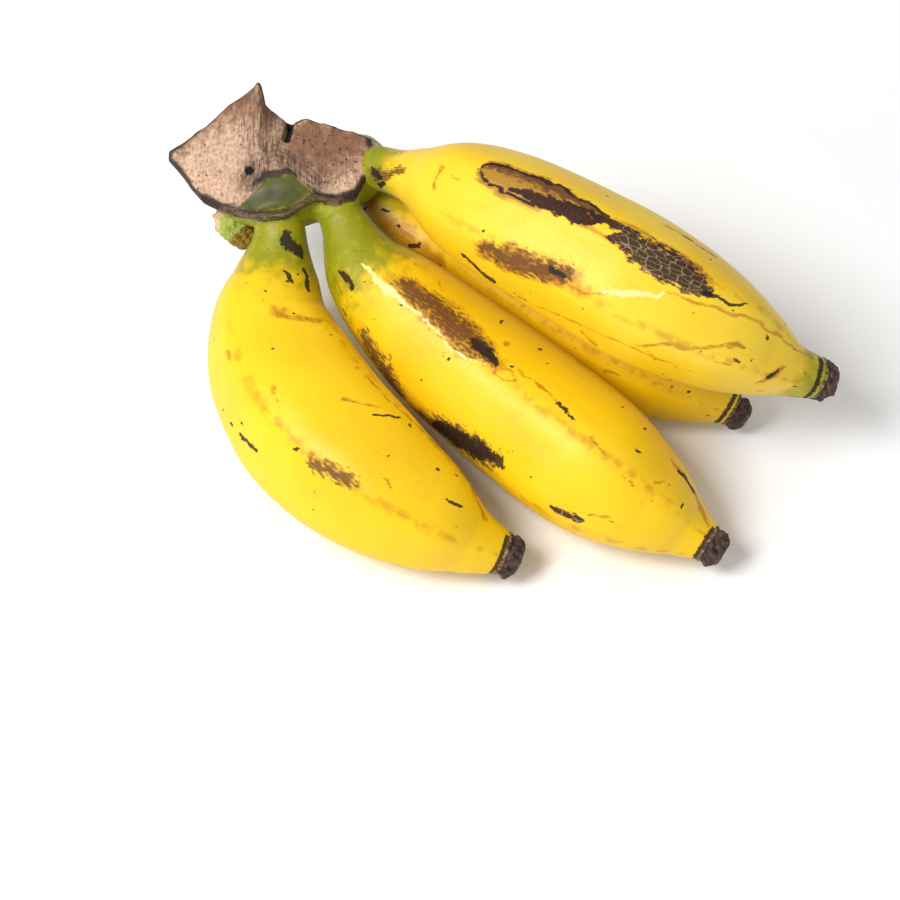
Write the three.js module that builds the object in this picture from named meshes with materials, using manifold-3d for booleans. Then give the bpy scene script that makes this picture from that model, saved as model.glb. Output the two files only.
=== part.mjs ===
// A hand of four short, plump bananas, still joined at the cut crown and lying on a surface.
// Millimetres, +Z up. Three fruits rest on their bellies and the fourth lies on top of one of them.
// The origin is on the surface, under the middle of the hand's footprint.

import * as THREE from 'three';
import { mergeVertices } from 'three/addons/utils/BufferGeometryUtils.js';
import Module from 'manifold-3d';

const wasm = await Module();
wasm.setup();

// Driving dimensions

const GAP = 0.3; // between a fruit's neck and its socket in the crown, and behind each blossom end
const BLOSSOM_LENGTH = 4.6; // what is left of the flower at the fruit's tip
const RIDGE_SHARPNESS = 2.5; // how narrow the peel's ridges are against the flatter sides between them
const RIDGE_START = 0.12; // share of the fruit's length where its ridges begin
const RIDGE_RISE = 0.18; // share of the length over which they grow to their full height
const RIDGE_FADE = 0.06; // share of the length over which they sink again before the tip

// Each fruit: stations of x, y, z on its centre line and its half-width there, from the crown to the tip,
// the directions of its ridges in degrees from the top, and their height as a share of the half-width.
const FINGERS = {
  left: {
    stations: [
      [-54.5, 33, 41, 6.4],
      [-54, 26.5, 35, 6.7],
      [-55, 19, 29, 10.7],
      [-56, 9, 24, 15.3],
      [-53, -3, 20, 18.3],
      [-44, -20, 18.8, 19.4],
      [-31, -34, 18, 17.8],
      [-17.5, -43, 15, 13.9],
      [-7.5, -47.3, 11, 8.6],
      [0.5, -49.3, 8, 5.4],
    ],
    ridges: [43, 115, 187, 250, 320],
    ridgeHeight: 0.06,
  },
  middle: {
    stations: [
      [-41.3, 35.5, 40, 5.8],
      [-38, 29.5, 36.5, 6.1],
      [-32.5, 19.5, 30.5, 10.8],
      [-23, 10, 26, 14.3],
      [-9.5, -1.5, 20.8, 16.7],
      [8, -17, 18, 17.8],
      [24, -31.5, 17, 17.2],
      [36, -39.3, 14, 13],
      [44.5, -43.8, 10.5, 7.8],
      [50, -47, 9, 4.8],
    ],
    ridges: [55, 127, 199, 271, 343],
    ridgeHeight: 0.06,
  },
  lower: {
    stations: [
      [-35, 49, 30.5, 4.6],
      [-28.5, 41.5, 28, 6.2],
      [-18.5, 37.2, 22.8, 10.9],
      [-5, 33.4, 18, 14],
      [9, 24.8, 16, 15.6],
      [24, 13.5, 15.6, 15.9],
      [37, 4.4, 15, 14.7],
      [47, -1.8, 12.7, 10.7],
      [58, -6.5, 8, 4.3],
    ],
    ridges: [20, 92, 164, 236, 308],
    ridgeHeight: 0.05,
  },
  upper: {
    stations: [
      [-35, 45.4, 41.2, 5.3],
      [-24.5, 39, 44.6, 5.9],
      [-18.4, 34.4, 47.5, 8.2],
      [-10, 28, 50, 13.3],
      [2, 19.7, 51.5, 15.8],
      [18, 8.7, 51.5, 16.9],
      [34, -2, 50, 17.3],
      [49, -8.6, 45, 15.2],
      [61, -11.3, 38, 11.2],
      [69.5, -12.6, 33, 7],
      [76.5, -13, 29.7, 5.2],
    ],
    ridges: [0, 75, 150, 230, 300],
    ridgeHeight: 0.06,
  },
};

// The crown's cut layer: x, y, z of its middle, half its depth from front to back, half its thickness,
// and how far it tips towards the front, in degrees.
const CUT_LAYER = [
  [-82, 45.6, 43.4, 1.2, 0.9, 42],
  [-78.2, 44.9, 42.3, 4.6, 1.6, 41],
  [-75.3, 43.8, 42.4, 7.7, 2.4, 39],
  [-72, 43.2, 42.8, 10.2, 2.8, 37],
  [-67.7, 43.8, 44.2, 12.8, 3, 34],
  [-63.8, 44.2, 46.4, 13.8, 3, 31],
  [-60.9, 45.1, 48.9, 13.5, 3, 32],
  [-58.8, 46.2, 50.7, 13, 3, 33],
  [-57.2, 45.2, 48.6, 9.5, 3, 23],
  [-54.5, 44.9, 47.3, 8.7, 3, 13],
  [-51.5, 44.8, 46, 7.7, 3, 6],
  [-48, 44.5, 45.3, 9.8, 3, 13],
  [-44, 42.6, 44.4, 10.6, 3, 16],
  [-39, 41.6, 43.5, 10.4, 3.2, 14],
  [-35, 42.2, 43.2, 8.8, 3.8, 15],
  [-32, 44.6, 43.4, 4.6, 3.4, 16],
];

// The green cushion below it that the necks grow out of: x, y, z and half-width.
const CUSHION = [
  [-72, 40, 40, 3.5],
  [-64, 38, 38.5, 7.6],
  [-53, 37, 38.8, 8.8],
  [-43, 41, 39, 8.9],
  [-35, 46, 38.5, 8.8],
  [-30, 48.5, 36.5, 6.2],
];

// The stub of a fifth fruit's neck, torn off below the crown: x, y, z and half-width.
const TORN_PEDICEL = [
  [-66, 36.5, 33.5, 5.2],
  [-65, 34.5, 30, 5],
  [-62.5, 32.3, 27, 3.6],
  [-61, 31.3, 25.3, 1.2],
];

// Facets around and along each kind of piece
const FINGER_FACETS = [20, 34];
const CROWN_FACETS = [20, 24];
const SMALL_FACETS = [12, 6];

const UP = new THREE.Vector3(0, 0, 1);

// A smooth run through stations whose first three numbers are a point and whose others vary along it.
function lineThrough(stations) {
  const points = stations.map(([x, y, z]) => new THREE.Vector3(x, y, z));
  const curve = new THREE.CatmullRomCurve3(points, false, 'catmullrom', 0.5);
  const extras = stations.map((station) => new THREE.Vector3(...station.slice(3), 0, 0));
  const extraCurve = new THREE.CatmullRomCurve3(extras, false, 'catmullrom', 0.5);
  return {
    curve,
    at(share) {
      const t = curve.getUtoTmapping(share);
      return { point: curve.getPoint(t), tangent: curve.getTangent(t), size: extraCurve.getPoint(t) };
    },
  };
}

// A closed cylinder whose every ring is laid by place(share along, angle around, reach from the middle).
function sweep([around, along], place) {
  const geometry = new THREE.CylinderGeometry(1, 1, 1, around, along);
  const position = geometry.attributes.position;
  for (let i = 0; i < position.count; i += 1) {
    const side = position.getX(i);
    const top = position.getZ(i);
    const laid = place(0.5 - position.getY(i), Math.atan2(side, top), Math.hypot(side, top));
    position.setXYZ(i, laid.x, laid.y, laid.z);
  }
  return geometry;
}

// The point at a distance and angle around a line: angle 0 is the top, and it turns about the tangent.
function around(point, tangent, angle, distance) {
  const side = UP.clone().cross(tangent).normalize();
  const top = tangent.clone().cross(side);
  return point
    .clone()
    .addScaledVector(top, distance * Math.cos(angle))
    .addScaledVector(side, distance * Math.sin(angle));
}

// How far the peel stands out at an angle, as a factor on the half-width.
function ridgeFactor({ ridges, ridgeHeight }, share, angle) {
  const degrees = THREE.MathUtils.euclideanModulo(THREE.MathUtils.radToDeg(angle) - ridges[0], 360);
  const turns = [...ridges.map((ridge) => ridge - ridges[0]), 360];
  const next = turns.findIndex((turn) => turn > degrees);
  const between = (degrees - turns[next - 1]) / (turns[next] - turns[next - 1]);
  const bump = Math.abs(Math.cos(Math.PI * between)) ** RIDGE_SHARPNESS;
  const grown = THREE.MathUtils.clamp((share - RIDGE_START) / RIDGE_RISE, 0, 1);
  const sunk = Math.sqrt(THREE.MathUtils.clamp((1 - share) / RIDGE_FADE, 0, 1));
  return 1 + ridgeHeight * grown * sunk * (bump - 0.4);
}

// One fruit, or with extra > 0 the same fruit grown by that much. Its belly is flat where it rests.
function fingerGeometry(finger, extra = 0) {
  const line = lineThrough(finger.stations);
  return sweep(FINGER_FACETS, (share, angle, reach) => {
    const { point, tangent, size } = line.at(share);
    const halfWidth = size.x * ridgeFactor(finger, share, angle) + extra;
    const laid = around(point, tangent, angle, reach * halfWidth);
    laid.z = Math.max(laid.z, 0);
    return laid;
  });
}

// A round piece along its stations, grown by extra.
function tubeGeometry(stations, facets, extra = 0) {
  const line = lineThrough(stations);
  return sweep(facets, (share, angle, reach) => {
    const { point, tangent, size } = line.at(share);
    return around(point, tangent, angle, reach * (size.x + extra));
  });
}

// The dried flower remnant: a lumpy knob just beyond the fruit's tip, widest near its base.
function blossomGeometry(finger) {
  const { point, tangent, size } = lineThrough(finger.stations).at(1);
  const lobes = 5;
  const lobeHeight = 0.08;
  return sweep(SMALL_FACETS, (share, angle, reach) => {
    const swell = 0.9 + 0.12 * Math.sin(Math.PI * share) - 0.28 * share ** 3;
    const lumpy = 1 + lobeHeight * Math.cos(lobes * angle);
    const base = point.clone().addScaledVector(tangent, GAP + BLOSSOM_LENGTH * share);
    return around(base, tangent, angle, reach * size.x * swell * lumpy);
  });
}

// The cut layer: flat slices across the hand, each tipped towards the front and squared at its edges.
function cutLayerGeometry() {
  const line = lineThrough(CUT_LAYER);
  const squareness = 0.6;
  return sweep(CROWN_FACETS, (share, angle, reach) => {
    const { point, size } = line.at(share);
    const soften = (value) => Math.sign(value) * Math.abs(value) ** squareness;
    const across = reach * size.x * soften(Math.sin(angle));
    const thick = reach * size.y * soften(Math.cos(angle));
    const tip = THREE.MathUtils.degToRad(size.z);
    const back = across * Math.cos(tip) - thick * Math.sin(tip);
    const rise = across * Math.sin(tip) + thick * Math.cos(tip);
    return point.clone().add(new THREE.Vector3(0, back, rise));
  });
}

// A closed geometry as a solid that can be joined and cut.
function solid(geometry) {
  const bare = geometry.clone();
  bare.deleteAttribute('normal');
  bare.deleteAttribute('uv');
  const welded = mergeVertices(bare);
  const mesh = new wasm.Mesh({
    numProp: 3,
    vertProperties: new Float32Array(welded.attributes.position.array),
    triVerts: new Uint32Array(welded.index.array),
  });
  return new wasm.Manifold(mesh);
}

function geometryOf(manifold) {
  const { vertProperties, triVerts } = manifold.getMesh();
  const geometry = new THREE.BufferGeometry();
  geometry.setAttribute('position', new THREE.BufferAttribute(vertProperties, 3));
  geometry.setIndex(new THREE.BufferAttribute(triVerts, 1));
  geometry.computeVertexNormals();
  return geometry;
}

// The crown: cut layer and cushion in one, with a socket for each neck and for the torn one.
function crownGeometry() {
  let crown = solid(cutLayerGeometry()).add(solid(tubeGeometry(CUSHION, CROWN_FACETS)));
  for (const finger of Object.values(FINGERS)) {
    crown = crown.subtract(solid(fingerGeometry(finger, GAP)));
  }
  crown = crown.subtract(solid(tubeGeometry(TORN_PEDICEL, SMALL_FACETS, GAP)));
  return geometryOf(crown);
}

const peel = { color: 0xf2cf16, roughness: 0.42, metalness: 0 };
const cutTissue = { color: 0x9c7b60, roughness: 0.85, metalness: 0 };
const tornTissue = { color: 0x9a8a3c, roughness: 0.8, metalness: 0 };
const driedFlower = { color: 0x3a2a22, roughness: 0.9, metalness: 0 };

const group = new THREE.Group();

function addPiece(name, geometry, finish) {
  const piece = new THREE.Mesh(geometry, new THREE.MeshStandardMaterial(finish));
  piece.name = name;
  group.add(piece);
}

addPiece('crown', crownGeometry(), cutTissue);
addPiece('torn_pedicel', tubeGeometry(TORN_PEDICEL, SMALL_FACETS), tornTissue);
for (const [name, finger] of Object.entries(FINGERS)) {
  addPiece(`finger_${name}`, fingerGeometry(finger), peel);
  addPiece(`blossom_end_${name}`, blossomGeometry(finger), driedFlower);
}

export default group;
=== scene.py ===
"""A hand of four short, plump bananas, lying on its bellies and still joined at the cut crown."""

import logging
import math
from collections.abc import Callable
from dataclasses import dataclass, field
from enum import Enum

import bmesh
import bpy
import numpy as np
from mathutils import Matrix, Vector


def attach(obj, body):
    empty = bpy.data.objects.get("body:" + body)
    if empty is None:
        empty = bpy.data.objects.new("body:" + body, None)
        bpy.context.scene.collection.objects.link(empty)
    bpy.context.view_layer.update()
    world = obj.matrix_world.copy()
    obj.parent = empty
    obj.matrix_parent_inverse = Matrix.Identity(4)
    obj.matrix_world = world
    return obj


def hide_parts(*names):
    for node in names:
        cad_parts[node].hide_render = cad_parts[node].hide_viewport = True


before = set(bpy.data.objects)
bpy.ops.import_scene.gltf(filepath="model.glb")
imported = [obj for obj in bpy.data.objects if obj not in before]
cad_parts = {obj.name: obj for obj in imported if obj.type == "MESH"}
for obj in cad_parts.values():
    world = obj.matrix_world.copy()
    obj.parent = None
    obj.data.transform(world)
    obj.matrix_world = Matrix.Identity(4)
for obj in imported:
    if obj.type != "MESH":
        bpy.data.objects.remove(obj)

log = logging.getLogger("hand_of_bananas")

MM = 0.001
BODY = "root"
UV_NAME = "peel"
UV_METRES = 0.1  # a whole unit of the peel's UV map is 100 mm, along and around

Points = np.ndarray
Values = np.ndarray
Place = Callable[[Values, Values], Points]


# Walks along a grown shape


def smooth_step(low: float, high: float, value: Values) -> Values:
    """A soft rise from 0 to 1.

    Args:
        low: The value where the rise starts.
        high: The value where it ends.
        value: The values to place on the rise.

    Returns:
        The height of the rise at each value.
    """
    share = np.clip((value - low) / (high - low), 0, 1)
    return share * share * (3 - 2 * share)


def fading(distance: Values, width: float) -> Values:
    """1 at no distance, falling softly to nothing past the width."""
    return np.exp(-((distance / width) ** 2))


class GrownLine:
    """A smooth line through stations of x, y, z and sizes in millimetres, walked by share of its length."""

    STEPS = 60

    def __init__(self, stations: tuple[tuple[float, ...], ...]) -> None:
        """Runs a Catmull-Rom curve through the stations.

        Args:
            stations: Rows of x, y, z and any sizes that vary along the line.
        """
        knots = np.array(stations, float)
        knots = np.vstack([2 * knots[0] - knots[1], knots, 2 * knots[-1] - knots[-2]])
        step = np.linspace(0, 1, self.STEPS, endpoint=False)[:, None]
        pieces = []
        for before, start, end, after in zip(knots, knots[1:], knots[2:], knots[3:]):
            leave, arrive = (end - before) / 2, (after - start) / 2
            cubic = 2 * start - 2 * end + leave + arrive
            square = -3 * start + 3 * end - 2 * leave - arrive
            pieces.append(cubic * step**3 + square * step**2 + leave * step + start)
        self.rows = np.vstack([*pieces, knots[-2]])
        walked = np.linalg.norm(np.diff(self.rows[:, :3], axis=0), axis=1).cumsum()
        self.length = float(walked[-1])
        self.shares = np.concatenate([[0], walked]) / self.length

    def column(self, share: Values, index: int) -> Values:
        """One number of the stations at each share: 0 to 2 are the place, and 3 onwards the sizes."""
        return np.interp(share, self.shares, self.rows[:, index])

    def centre(self, share: Values) -> Points:
        """The points on the line at each share."""
        return np.stack([self.column(share, axis) for axis in range(3)], axis=-1)

    def directions(self, share: Values) -> tuple[Points, Points, Points]:
        """The line's own axes.

        Args:
            share: Where on the line.

        Returns:
            The tangent, the side and the top direction at each share.
        """
        reach = 0.004
        tangent = self.centre(np.clip(share + reach, 0, 1)) - self.centre(np.clip(share - reach, 0, 1))
        tangent /= np.linalg.norm(tangent, axis=-1, keepdims=True)
        side = np.cross([0, 0, 1], tangent)
        side /= np.linalg.norm(side, axis=-1, keepdims=True)
        return tangent, side, np.cross(tangent, side)

    def around(self, share: Values, angle: Values, distance: Values) -> Points:
        """Points at a distance from the line.

        Args:
            share: Where on the line.
            angle: The angle from the top, in radians.
            distance: How far from the line.

        Returns:
            The points in millimetres.
        """
        _, side, top = self.directions(share)
        outward = np.cos(angle)[..., None] * top + np.sin(angle)[..., None] * side
        return self.centre(share) + distance[..., None] * outward


def lattice_noise(points: Points, cell: float, seed: int) -> Values:
    """Smooth seeded noise in space.

    Args:
        points: Where to read it, in millimetres.
        cell: The size of its lumps in millimetres.
        seed: Which noise.

    Returns:
        Values from -1 to 1.
    """
    table = np.random.default_rng(seed).uniform(-1, 1, (32, 32, 32))
    scaled = points / cell
    low = np.floor(scaled).astype(int)
    blend = scaled - low
    blend = blend * blend * (3 - 2 * blend)
    total = np.zeros(len(points))
    for corner in np.ndindex(2, 2, 2):
        weight = np.prod(np.where(corner, blend, 1 - blend), axis=-1)
        index = (low + corner) % 32
        total += weight * table[index[:, 0], index[:, 1], index[:, 2]]
    return total


def path_distance(points: Points, path: Points) -> tuple[Values, Values]:
    """How far points lie from a broken line.

    Args:
        points: The points, one a row.
        path: The line's corners: one row each, or for each corner a row for every point.

    Returns:
        The distance to the nearest place on the line, and that place counted in corners.
    """
    if len(path) == 1:
        return np.linalg.norm(points - path[0], axis=-1), np.zeros(len(points))
    best = np.full(len(points), np.inf)
    place = np.zeros(len(points))
    for index, (start, end) in enumerate(zip(path, path[1:])):
        run = np.broadcast_to(end - start, points.shape)
        along = np.sum((points - start) * run, axis=-1) / np.sum(run * run, axis=-1)
        along = np.clip(along, 0, 1)
        away = np.linalg.norm(points - start - along[:, None] * run, axis=-1)
        nearer = away < best
        best = np.where(nearer, away, best)
        place = np.where(nearer, index + along, place)
    return best, place


# Meshes


def rolled_sheet(name: str, along: int, around: int, place: Place) -> bpy.types.Object:
    """A grid rolled into a closed skin, with its share and turn kept on every vertex.

    Args:
        name: The piece's name.
        along: Faces along the skin.
        around: Faces around it.
        place: Gives the points in millimetres for shares along (0 to 1) and angles around (-pi to pi).

    Returns:
        The new object, smooth shaded, at the origin.
    """
    bm = bmesh.new()
    bm.loops.layers.uv.new(UV_NAME)
    bmesh.ops.create_grid(bm, x_segments=along, y_segments=around, size=0.5, calc_uvs=True)
    share_layer = bm.verts.layers.float.new("share")
    turn_layer = bm.verts.layers.float.new("turn")
    flat = np.array([vertex.co[:2] for vertex in bm.verts])
    shares, angles = flat[:, 0] + 0.5, flat[:, 1] * 2 * math.pi
    points = place(shares, angles) * MM
    for vertex, share, angle, point in zip(bm.verts, shares, angles, points):
        vertex[share_layer] = share
        vertex[turn_layer] = angle
        vertex.co = point
    bmesh.ops.remove_doubles(bm, verts=bm.verts, dist=1e-7)
    rims = [edge for edge in bm.edges if edge.is_boundary]
    bmesh.ops.holes_fill(bm, edges=rims, sides=0)
    return finished(name, bm)


def finished(name: str, bm: bmesh.types.BMesh) -> bpy.types.Object:
    """Turns a bmesh into a smooth-shaded object at the origin, in the scene.

    Args:
        name: The piece's name.
        bm: The bmesh, which is freed.

    Returns:
        The object.
    """
    for face in bm.faces:
        face.smooth = True
    mesh = bpy.data.meshes.new(name)
    bm.to_mesh(mesh)
    bm.free()
    piece = bpy.data.objects.new(name, mesh)
    bpy.context.scene.collection.objects.link(piece)
    return piece


def relax(bm: bmesh.types.BMesh, verts: list[bmesh.types.BMVert], passes: int) -> None:
    """Smooths part of a mesh.

    Args:
        bm: The mesh.
        verts: Its vertices that may move.
        passes: How many times each moves halfway to its neighbours.
    """
    for _ in range(passes):
        bmesh.ops.smooth_vert(bm, verts=verts, factor=0.5, use_axis_x=True, use_axis_y=True, use_axis_z=True)


def read_points(piece: bpy.types.Object) -> Points:
    """The vertices of a piece in millimetres."""
    flat = np.empty(len(piece.data.vertices) * 3, np.float32)
    piece.data.vertices.foreach_get("co", flat)
    return flat.reshape(-1, 3).astype(float) / MM


def write_points(piece: bpy.types.Object, points: Points) -> None:
    """Moves the vertices of a piece to points in millimetres."""
    piece.data.vertices.foreach_set("co", (points * MM).astype(np.float32).ravel())
    piece.data.update()


def read_normals(piece: bpy.types.Object) -> Points:
    """The outward directions of a piece's vertices."""
    flat = np.empty(len(piece.data.vertices) * 3, np.float32)
    piece.data.vertex_normals.foreach_get("vector", flat)
    return flat.reshape(-1, 3).astype(float)


def read_values(piece: bpy.types.Object, name: str) -> Values:
    """A number kept on every vertex of a piece."""
    flat = np.empty(len(piece.data.vertices), np.float32)
    piece.data.attributes[name].data.foreach_get("value", flat)
    return flat.astype(float)


def write_values(piece: bpy.types.Object, name: str, values: Values) -> None:
    """Keeps a number on every vertex of a piece, for its finish to read."""
    layer = piece.data.attributes.get(name) or piece.data.attributes.new(name, "FLOAT", "POINT")
    layer.data.foreach_set("value", values.astype(np.float32))


def settle(piece: bpy.types.Object, node: str, finish: bpy.types.Material) -> None:
    """Lets a finished piece stand for its node, with its finish on.

    Args:
        piece: The finished piece.
        node: The node that it replaces.
        finish: Its material.
    """
    piece.data.materials.append(finish)
    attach(piece, BODY)
    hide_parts(node)
    log.info("%s: %d faces stand for %s", piece.name, len(piece.data.polygons), node)


# Finishes


def shade(code: str) -> tuple[float, float, float, float]:
    """A colour for a shader.

    Args:
        code: The sRGB colour as six hex digits.

    Returns:
        The linear colour with full alpha.
    """
    parts = [int(code[place : place + 2], 16) / 255 for place in (0, 2, 4)]
    linear = [part / 12.92 if part <= 0.04045 else ((part + 0.055) / 1.055) ** 2.4 for part in parts]
    return (*linear, 1.0)


def add_node(
    tree: bpy.types.NodeTree, kind: str, inputs: dict[int | str, object], **settings: object
) -> bpy.types.Node:
    """Adds one node.

    Args:
        tree: The material's node tree.
        kind: The node's type name.
        inputs: Values, or sockets to link from, by the input's name or number.
        **settings: The node's own properties.

    Returns:
        The node.
    """
    made = tree.nodes.new(kind)
    for name, value in settings.items():
        setattr(made, name, value)
    for name, value in inputs.items():
        if isinstance(value, bpy.types.NodeSocket):
            tree.links.new(value, made.inputs[name])
        else:
            made.inputs[name].default_value = value
    return made


class Recipe:
    """A material being mixed: a colour, a roughness and a bump height, laid on one coat after another."""

    def __init__(self, name: str, ior: float, coat: float = 0.0, coat_roughness: float = 0.3) -> None:
        """Starts a material.

        Args:
            name: The material's name.
            ior: Its index of refraction.
            coat: The weight of a clear coat of wax.
            coat_roughness: How dull that coat is.
        """
        self.material = bpy.data.materials.new(name)
        self.material.use_nodes = True
        self.tree = self.material.node_tree
        self.shader = self.tree.nodes["Principled BSDF"]
        self.shader.inputs["IOR"].default_value = ior
        self.shader.inputs["Coat Weight"].default_value = coat
        self.shader.inputs["Coat Roughness"].default_value = coat_roughness
        self.place = self.node("ShaderNodeTexCoord", {}).outputs["Object"]

    def node(self, kind: str, inputs: dict[int | str, object], **settings: object) -> bpy.types.Node:
        """Adds one node to this material's tree."""
        return add_node(self.tree, kind, inputs, **settings)

    def mark(self, name: str) -> bpy.types.NodeSocket:
        """A number kept on the vertices under this name."""
        return self.node("ShaderNodeAttribute", {}, attribute_name=name).outputs["Fac"]

    def grain(
        self,
        size: float,
        place: bpy.types.NodeSocket | None = None,
        stretch: tuple[float, float, float] = (1, 1, 1),
        detail: float = 3.0,
    ) -> bpy.types.NodeSocket:
        """Cloudy noise.

        Args:
            size: The size of its lumps in millimetres.
            place: The coordinates in metres to read it on, or None for the object's own.
            stretch: How many times longer the lumps are on each axis.
            detail: How many finer layers it has.

        Returns:
            Values around 0.5.
        """
        scale = [1 / (size * MM * longer) for longer in stretch]
        mapped = self.node("ShaderNodeMapping", {"Vector": place or self.place, "Scale": scale})
        inputs = {"Vector": mapped.outputs["Vector"], "Scale": 1.0, "Detail": detail}
        return self.node("ShaderNodeTexNoise", inputs).outputs["Fac"]

    def cells(
        self,
        size: float,
        feature: str,
        place: bpy.types.NodeSocket | None = None,
        stretch: tuple[float, float, float] = (1, 1, 1),
    ) -> bpy.types.NodeSocket:
        """Distances in a pattern of cells.

        Args:
            size: The width of a cell in millimetres.
            feature: Which distance: F1 or DISTANCE_TO_EDGE.
            place: The coordinates in metres, or None for the object's own.
            stretch: How many times longer the cells are on each axis.

        Returns:
            The distance as a share of a cell.
        """
        scale = [1 / (size * MM * longer) for longer in stretch]
        mapped = self.node("ShaderNodeMapping", {"Vector": place or self.place, "Scale": scale})
        inputs = {"Vector": mapped.outputs["Vector"], "Scale": 1.0}
        return self.node("ShaderNodeTexVoronoi", inputs, feature=feature).outputs["Distance"]

    def sums(self, operation: str, *values: object) -> bpy.types.NodeSocket:
        """A sum, product or other operation on two or three values."""
        inputs = dict(enumerate(values))
        return self.node("ShaderNodeMath", inputs, operation=operation).outputs["Value"]

    def varied(self, value: object, grain: bpy.types.NodeSocket, amount: float) -> bpy.types.NodeSocket:
        """A value moved up and down by a grain, by up to half of the amount each way."""
        return self.sums("MULTIPLY_ADD", self.sums("SUBTRACT", grain, 0.5), amount, value)

    def ramp(
        self,
        value: bpy.types.NodeSocket,
        low: float,
        high: float,
        to_low: float = 0.0,
        to_high: float = 1.0,
    ) -> bpy.types.NodeSocket:
        """A soft step.

        Args:
            value: What is stepped.
            low: Where the step starts.
            high: Where it ends.
            to_low: The result below the step.
            to_high: The result above it.

        Returns:
            The stepped value.
        """
        inputs = {"Value": value, "From Min": low, "From Max": high, "To Min": to_low, "To Max": to_high}
        return self.node("ShaderNodeMapRange", inputs, interpolation_type="SMOOTHSTEP").outputs["Result"]

    def blend(self, factor: object, below: object, above: object) -> bpy.types.NodeSocket:
        """One colour over another.

        Args:
            factor: How much of the upper one shows.
            below: The lower colour.
            above: The upper colour.

        Returns:
            The mixed colour.
        """
        inputs = {0: factor, 6: below, 7: above}
        return self.node("ShaderNodeMix", inputs, data_type="RGBA").outputs[2]

    def finish(
        self,
        colour: bpy.types.NodeSocket,
        roughness: bpy.types.NodeSocket,
        height: bpy.types.NodeSocket,
        depth: float,
    ) -> bpy.types.Material:
        """Joins the coats to the shader.

        Args:
            colour: The colour.
            roughness: The roughness.
            height: The bump's height from 0 to 1.
            depth: What a height of 1 measures, in millimetres.

        Returns:
            The finished material.
        """
        bump = self.node("ShaderNodeBump", {"Height": height, "Distance": depth * MM, "Strength": 1.0})
        bumped = bump.outputs["Normal"]
        for name, value in (("Base Color", colour), ("Roughness", roughness), ("Normal", bumped)):
            self.tree.links.new(value, self.shader.inputs[name])
        return self.material


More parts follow.
